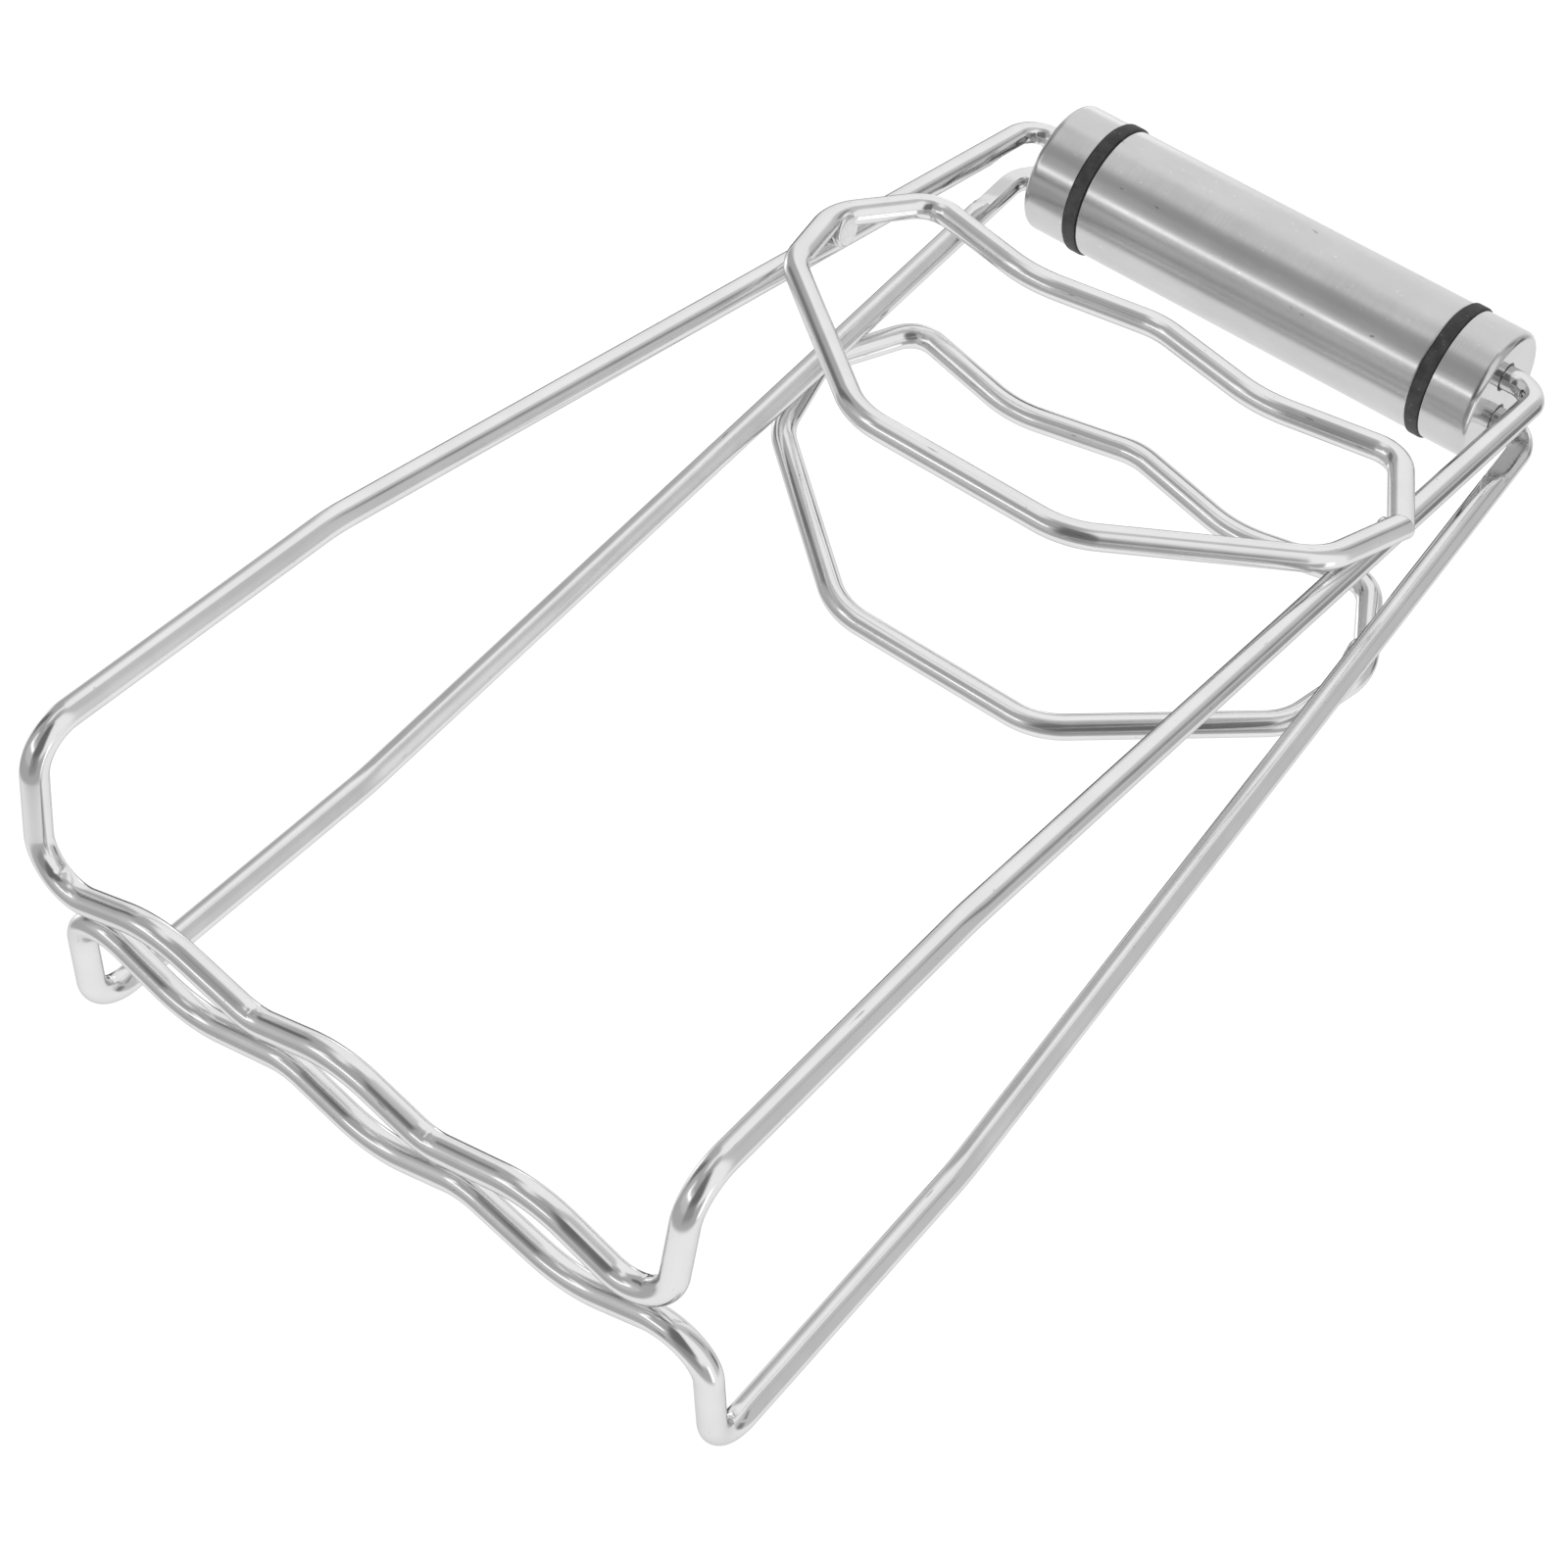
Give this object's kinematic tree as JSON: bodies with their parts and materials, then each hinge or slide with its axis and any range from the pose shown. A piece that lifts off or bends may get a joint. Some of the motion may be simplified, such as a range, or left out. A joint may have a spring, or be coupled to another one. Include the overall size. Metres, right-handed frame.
{
  "type": "jar lifter",
  "caption": "Steel wire lifter with a round handle, two hinged bent-wire frames with welded finger loops, and wavy jaw bars that close on a rim.",
  "frame": {"origin": "centre of the round handle, half way along its length and on its axis", "axes": "+X along the handle, -Y forward from the handle to the jaws, +Z normal to the plane between the two frames, upper frame above it"},
  "size_m": [0.1344, 0.2559, 0.0608],
  "materials": {
    "polished_wire_steel": "polished stainless wire",
    "brushed_handle_steel": "fine circumferential brushing",
    "weld_steel": "ground weld",
    "black_rubber": "matt"
  },
  "bodies": {
    "handle": {"grip_tube": "brushed_handle_steel", "end_cap_left": "brushed_handle_steel", "end_cap_right": "brushed_handle_steel", "rubber_ring_left": "black_rubber", "rubber_ring_right": "black_rubber"},
    "upper_jaw": {"upper_frame": "polished_wire_steel", "upper_loop": "polished_wire_steel", "upper_loop_seam": "weld_steel", "upper_weld_left": "weld_steel", "upper_weld_right": "weld_steel"},
    "lower_jaw": {"lower_frame": "polished_wire_steel", "lower_loop": "polished_wire_steel", "lower_loop_seam": "weld_steel", "lower_weld_left": "weld_steel", "lower_weld_right": "weld_steel"}
  },
  "joints": [
    {"name": "upper_jaw_pivot", "type": "hinge", "parent": "handle", "child": "upper_jaw", "pos_m": [0, 0, 0.0048], "axis": [-1, 0, 0], "range_deg": [0, 90]},
    {"name": "lower_jaw_pivot", "type": "hinge", "parent": "handle", "child": "lower_jaw", "pos_m": [0, 0, -0.0048], "axis": [1, 0, 0], "range_deg": [0, 90]}
  ]
}
